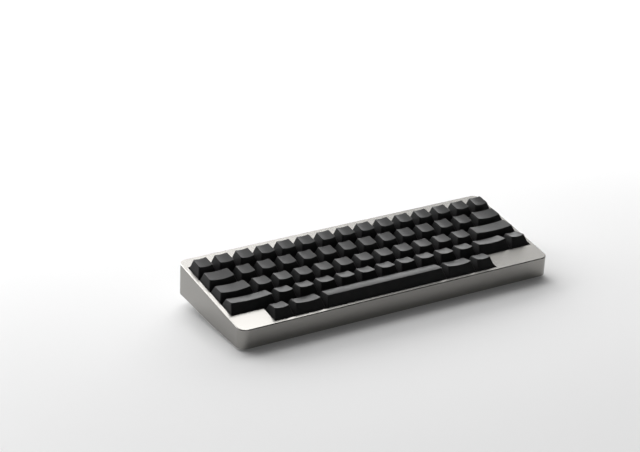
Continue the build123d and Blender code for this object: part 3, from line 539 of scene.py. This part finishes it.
def head_and_shank(name, radius, length, head_radius, head_height):
    """Upright at the origin, the underside of the head at zero, its top face open."""
    bpy.ops.object.select_all(action="DESELECT")
    bpy.ops.mesh.primitive_cylinder_add(
        vertices=HEAD_VERTICES, radius=head_radius * MM, depth=head_height * MM,
        location=(0, 0, head_height / 2 * MM),
    )
    screw = start(name)
    pick(screw, "faces", at_height(0.0))
    bpy.ops.mesh.inset(thickness=(head_radius - radius) * MM)
    extrude(TIP - length)
    extrude(-TIP)
    bpy.ops.transform.resize(value=(TIP_SHARE, TIP_SHARE, 1.0))
    pick(screw, "edges", at_height(head_height * MM))
    bpy.ops.mesh.bevel(offset=HEAD_RIM * MM, segments=HEAD_RIM_STEPS, profile=0.5)
    pick(screw, "faces", at_height(head_height * MM))
    bpy.ops.mesh.delete(type="ONLY_FACE")
    return screw

# %% Socket
SOCKET_SHARE = 0.6               # depth of the socket as a share of the height of the head
SOCKET_CONE = 0.2


def socket_screw(name, radius, length, head_radius, head_height, socket_width):
    """A screw in millimetres, upright at the origin, the underside of its head at zero."""
    screw = head_and_shank(name, radius, length, head_radius, head_height)
    top = head_height * MM
    corner = socket_width / math.sqrt(3) * MM
    bpy.ops.mesh.primitive_circle_add(vertices=6, radius=corner, location=(0, 0, top))
    pick(screw, "edges", at_height(top))
    bpy.ops.mesh.bridge_edge_loops()
    pick(screw, "edges", lambda edge: at_height(top)(edge) and all(
        vertex.co.xy.length < corner + EQUAL_WITHIN for vertex in edge.verts
    ))
    extrude(-head_height * SOCKET_SHARE)
    bpy.ops.mesh.edge_face_add()
    bpy.ops.mesh.poke(offset=-SOCKET_CONE * MM)
    close(screw, screw_steel, angle=25)
    return screw

# %% [markdown]
# ### Where the screws go
# Two sit in round recesses in the rear face and pull on lugs of the bottom cover. Six hold the switch plate
# to the rim from below. Two hold the feet from inside the cover, and three sit in the bar. Each kind is
# modelled once, then copied to its places with a mesh of its own, and the model at the origin is removed.

# %% Places of the screws, in millimetres
CASE_SCREW = (129.7, 21.8)       # on the rear face: sideways and down
RECESS_DEPTH = 2.2
PLATE_UNDERSIDE = -9.7           # from the deck
PLATE_SCREWS = (
    (-120, 50.75), (-40, 50.75), (40, 50.75), (120, 50.75), (-128.51, -38.1), (118.99, -38.1),
)
FOOT_SCREW = (124, 42.4)         # on the deck
COVER_THICKNESS = 1.8
BAR_MIDDLE = -3.8                # from the lower edge of the rear face
BAR_SCREWS = (-90, 0, 90)
BAR_SCREW_DEPTH = 2.0            # of the underside of the heads, from the cover

places_of_screws = {
    "case_screw": [
        rear_face @ moved(side * CASE_SCREW[0], CASE_SCREW[1], -RECESS_DEPTH) for side, _ in SIDES
    ],
    "plate_screw": [deck @ moved(x, y, PLATE_UNDERSIDE) @ UPSIDE_DOWN for x, y in PLATE_SCREWS],
    "foot_screw": [
        rear_underside @ moved(side * FOOT_SCREW[0], FOOT_SCREW[1] - REAR_LOW[0], COVER_THICKNESS)
        for side, _ in SIDES
    ],
    "bar_screw": [
        rear_underside @ moved(x, BAR_MIDDLE, -BAR_SCREW_DEPTH) @ UPSIDE_DOWN for x in BAR_SCREWS
    ],
}

# %% All the screws
# Radius and length of the shank, radius and height of the head, width of the socket
SCREW_SIZES = {
    "case_screw": (1.5, 8.0, 2.3, 2.0, 2.0),
    "plate_screw": (1.25, 6.0, 2.4, 1.5, 2.0),
    "foot_screw": (1.5, 4.5, 2.4, 1.5, 2.0),
    "bar_screw": (1.0, 3.8, 1.9, 1.3, 1.5),
}
for kind, places in places_of_screws.items():
    model = socket_screw(f"{kind}_model", *SCREW_SIZES[kind])
    for number, place in enumerate(places, start=1):
        fit(copy_to(model, f"{kind}_{number}", place), "screws")
    print(len(places), "times", kind, size_of(model), "mm")
    bpy.data.objects.remove(model)

# %% [markdown]
# ## Springs
# A coil of thin wire pushes each stem up. The solids show it as a plain tube, which is enough for its room
# but doesn't look like a spring and can't shorten. Here it is wound from a section of wire by the Screw
# modifier, which turns the section about the upright axis while it lifts it. One coil is copied under every
# key. The copies ride on the case, not on their keys, so they keep their length. The springs are found from
# the
# layout of the keys: rows of named keys with their widths, in units of the pitch. The rear row is one moving
# body, so its fifteen keys share a name.

# %% Layout of the keys
PITCH = 19.05
UNITS_ACROSS = 15
MIDDLE_ROW = 2
ONE = 1.0
KEY_ROWS = (
    (0.0, [("number_row", ONE)] * 15),
    (0.0, [("tab", 1.5), *[(letter, ONE) for letter in "qwertyuiop"],
           ("bracket_left", ONE), ("bracket_right", ONE), ("delete", 1.5)]),
    (0.0, [("control", 1.75), *[(letter, ONE) for letter in "asdfghjkl"],
           ("semicolon", ONE), ("quote", ONE), ("return", 2.25)]),
    (0.0, [("shift_left", 2.25), *[(letter, ONE) for letter in "zxcvbnm"],
           ("comma", ONE), ("period", ONE), ("slash", ONE), ("shift_right", 1.75), ("function", ONE)]),
    (1.5, [("alt_left", ONE), ("meta_left", 1.5), ("space", 6.0), ("meta_right", 1.5),
           ("alt_right", ONE)]),
)


def key_places():
    """Name of the moving body and place on the deck of each key."""
    for row, (column, keys) in enumerate(KEY_ROWS):
        for body, width in keys:
            middle = column + width / 2 - UNITS_ACROSS / 2
            yield body, middle * PITCH, (MIDDLE_ROW - row) * PITCH
            column += width


print("keys in the layout:", len(list(key_places())))

# %% One spring
SPRING_LENGTH = 5.9
SPRING_RADIUS = 2.4              # to the middle of the wire
WIRE_RADIUS = 0.2
WIRE_SIDES = 6
COILS = 4
STEPS_PER_COIL = 14

bpy.ops.object.select_all(action="DESELECT")
bpy.ops.mesh.primitive_circle_add(
    vertices=WIRE_SIDES, radius=WIRE_RADIUS * MM, rotation=(math.radians(90), 0, 0),
    location=(SPRING_RADIUS * MM, 0, WIRE_RADIUS * MM),
)
coil = start("spring_model")
bpy.ops.object.mode_set(mode="OBJECT")
bpy.ops.object.modifier_add(type="SCREW")
winding = coil.modifiers[-1]
winding.steps = winding.render_steps = STEPS_PER_COIL
winding.iterations = COILS
winding.screw_offset = (SPRING_LENGTH - 2 * WIRE_RADIUS) / COILS * MM
bpy.ops.object.modifier_apply(modifier=winding.name)
bpy.ops.object.mode_set(mode="EDIT")
bpy.ops.mesh.select_all(action="SELECT")
bpy.ops.mesh.fill_holes(sides=WIRE_SIDES)
close(coil, wire_steel, angle=70)
print("one coil:", len(coil.data.polygons), "faces")

# %% Springs under the keys
SPRING_FLOOR = -12.0             # floor of the switch housings, from the deck

for number, (body, x, y) in enumerate(key_places(), start=1):
    foot_of_spring = deck @ moved(x, y, SPRING_FLOOR)
    spring = copy_to(coil, f"spring_{number:02d}", foot_of_spring)
    fit(spring, "switch_springs")
    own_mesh(spring)
print(number, "springs", size_of(coil), "mm")
bpy.data.objects.remove(coil)

# %% [markdown]
# ## Contacts in the connector
# The tongue of the connector carries two rows of twelve gold plated contacts, half a millimetre apart. The
# solid has the bare tongue, so the contacts are pieces of their own: one small bar with bevelled edges,
# copied along both faces of the tongue and joined into one piece.

# %% One contact
CONTACT = (0.25, 3.4, 0.06)      # width, length and thickness in millimetres
CONTACT_EDGE = 0.02              # width of the bevel

bpy.ops.object.select_all(action="DESELECT")
bpy.ops.mesh.primitive_cube_add(size=1, scale=[size * MM for size in CONTACT])
contact_model = start("contact_model")
bpy.ops.mesh.select_all(action="SELECT")
bpy.ops.mesh.bevel(offset=CONTACT_EDGE * MM, segments=1)
close(contact_model, contact_gold)
print("one contact:", CONTACT, "mm")

# %% Two rows of contacts
PORT = (-69.9, 57.913, -21.0)    # middle of the opening, level with the rear face, on the deck
BEHIND_OPENING = 4.4             # from the opening to the middle of the contacts
TONGUE_HALF = 0.35               # half the thickness of the tongue
COLUMNS = 12
CONTACT_PITCH = 0.5

contacts = []
for face in (-1, 1):
    for column in range(COLUMNS):
        sideways = (column - (COLUMNS - 1) / 2) * CONTACT_PITCH
        place = moved(PORT[0] + sideways, PORT[1] - BEHIND_OPENING, PORT[2] + face * TONGUE_HALF)
        contacts.append(copy_to(contact_model, f"contact_{face}_{column}", deck @ place))
bpy.data.objects.remove(contact_model)
bpy.ops.object.select_all(action="DESELECT")
for contact in contacts:
    contact.select_set(True)
bpy.context.view_layer.objects.active = contacts[0]
bpy.ops.object.join()
port_contacts = bpy.context.object
port_contacts.name = "port_contacts"
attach(port_contacts, "case")
print(port_contacts.name, "holds", 2 * COLUMNS, "contacts")

# %% [markdown]
# ## Floor
# The keyboard stands on white paper in a studio. Paper that is lit like the keyboard comes out a little
# grey. More light would bleach the metal, so the floor gives off a little white of its own, but only
# towards the camera and towards mirror rays: the metal then shows the same floor, and no light is added to
# the keyboard. This white grows with the distance, so the shadow stays and the background turns white. A
# low white wall round the floor closes the horizon in the views from near the ground.

# %% White that only the camera and mirror rays meet
def shown_white(tree, strength):
    """Emission towards camera, glossy and transmission rays. The strength is a number or an output."""
    rays = tree.nodes.new("ShaderNodeLightPath")
    kinds = rays.outputs["Is Camera Ray"]
    for other in ("Is Glossy Ray", "Is Transmission Ray"):
        either = tree.nodes.new("ShaderNodeMath")
        either.operation = "MAXIMUM"
        tree.links.new(kinds, either.inputs[0])
        tree.links.new(rays.outputs[other], either.inputs[1])
        kinds = either.outputs["Value"]
    scaled = tree.nodes.new("ShaderNodeMath")
    scaled.operation = "MULTIPLY"
    white = tree.nodes.new("ShaderNodeEmission")
    tree.links.new(kinds, scaled.inputs[0])
    if isinstance(strength, float):
        scaled.inputs[1].default_value = strength
    else:
        tree.links.new(strength, scaled.inputs[1])
    tree.links.new(scaled.outputs["Value"], white.inputs["Strength"])
    return white

# %% Floor
FLOOR_HALF = 6.0

bpy.ops.object.select_all(action="DESELECT")
bpy.ops.mesh.primitive_plane_add(size=2 * FLOOR_HALF, location=(0, 0, 0))
floor = bpy.context.object
floor.name = "floor"
print("floor", 2 * FLOOR_HALF, "m wide")

# %% Paper of the floor
FLOOR_LIFT = (0.06, 0.40)        # strength of the white near the keyboard and far from it
LIFT_REACH = (0.25, 1.0)         # metres from the keyboard between which the white grows

floor_paper, tree, shader = new_finish("floor_paper", (0.82, 0.82, 0.82), 0.9)
shader.inputs["Specular IOR Level"].default_value = 0.0
place = tree.nodes.new("ShaderNodeTexCoord")
distance = tree.nodes.new("ShaderNodeVectorMath")
distance.operation = "LENGTH"
lift = tree.nodes.new("ShaderNodeMapRange")
lift.interpolation_type = "SMOOTHSTEP"
lift.inputs["From Min"].default_value, lift.inputs["From Max"].default_value = LIFT_REACH
lift.inputs["To Min"].default_value, lift.inputs["To Max"].default_value = FLOOR_LIFT
tree.links.new(place.outputs["Object"], distance.inputs[0])
tree.links.new(distance.outputs["Value"], lift.inputs["Value"])
both = tree.nodes.new("ShaderNodeAddShader")
tree.links.new(shader.outputs["BSDF"], both.inputs[0])
tree.links.new(shown_white(tree, lift.outputs["Result"]).outputs["Emission"], both.inputs[1])
tree.links.new(both.outputs["Shader"], tree.nodes["Material Output"].inputs["Surface"])
floor.data.materials.append(floor_paper)

# %% Wall round the floor
WALL_RADIUS = 5.5
WALL_HEIGHT = 0.9
WALL_SIDES = 96

bpy.ops.object.select_all(action="DESELECT")
bpy.ops.mesh.primitive_cylinder_add(
    vertices=WALL_SIDES, radius=WALL_RADIUS, depth=WALL_HEIGHT, end_fill_type="NOTHING",
    location=(0, 0, WALL_HEIGHT / 2),
)
wall = bpy.context.object
wall.name = "wall"
print("wall", WALL_HEIGHT, "m high")

wall_white = bpy.data.materials.new("wall_white")
wall_white.use_nodes = True
tree = wall_white.node_tree
tree.nodes.remove(tree.nodes["Principled BSDF"])
tree.links.new(
    shown_white(tree, 1.0).outputs["Emission"], tree.nodes["Material Output"].inputs["Surface"]
)
wall.data.materials.append(wall_white)

# %% [markdown]
# ## Light
# The shadows fall towards the viewer, and the deck shines at its front left and fades to the right. So the
# light comes from behind: a broad soft lamp behind the keyboard, a small one above it that the deck mirrors
# at the front, and a low one at the rear right that draws the long shadows on the floor. The world is
# bright behind and dark in front, which keeps the front face and the sides of the keys dark. An even world
# would be simpler, but metal mirrors what is around it, and it would look flat and pale.

# %% World
WORLD_FRONT = 0.02               # strength towards the viewer
WORLD_REAR = 1.2                 # strength behind the keyboard
FADE = (-0.2, 0.7)               # part of the Y of the direction over which it grows

world = bpy.data.worlds.new("studio")
bpy.context.scene.world = world
world.use_nodes = True
sky = world.node_tree
direction = sky.nodes.new("ShaderNodeTexCoord")
split = sky.nodes.new("ShaderNodeSeparateXYZ")
fade = sky.nodes.new("ShaderNodeMapRange")
fade.interpolation_type = "SMOOTHSTEP"
fade.inputs["From Min"].default_value, fade.inputs["From Max"].default_value = FADE
fade.inputs["To Min"].default_value = WORLD_FRONT
fade.inputs["To Max"].default_value = WORLD_REAR
sky.links.new(direction.outputs["Generated"], split.inputs["Vector"])
sky.links.new(split.outputs["Y"], fade.inputs["Value"])
sky.links.new(fade.outputs["Result"], sky.nodes["Background"].inputs["Strength"])
sky.nodes["Background"].inputs["Color"].default_value = (1, 1, 1, 1)
print("world from", WORLD_FRONT, "to", WORLD_REAR)

# %% Lamps
def softbox(name, place, width, height, power):
    """A rectangular lamp that faces the keyboard."""
    lamp = bpy.data.objects.new(name, bpy.data.lights.new(name, "AREA"))
    bpy.context.scene.collection.objects.link(lamp)
    lamp.data.shape = "RECTANGLE"
    lamp.data.size = width
    lamp.data.size_y = height
    lamp.data.energy = power
    lamp.location = place
    lamp.rotation_euler = (-Vector(place)).to_track_quat("-Z", "Y").to_euler()
    print(name, width, "by", height, "m,", power, "W")


# Place in metres, width and height, power in watts
softbox("rear_softbox", (-0.40, 1.55, 0.75), 1.8, 0.8, 22)
softbox("upper_softbox", (0.10, 0.62, 0.98), 0.8, 0.5, 4.2)
softbox("low_softbox", (0.85, 1.45, 0.48), 1.5, 0.6, 17)

# The Standard view keeps the tones as they are. A film-like view would turn the white floor grey.
bpy.context.scene.view_settings.view_transform = "Standard"
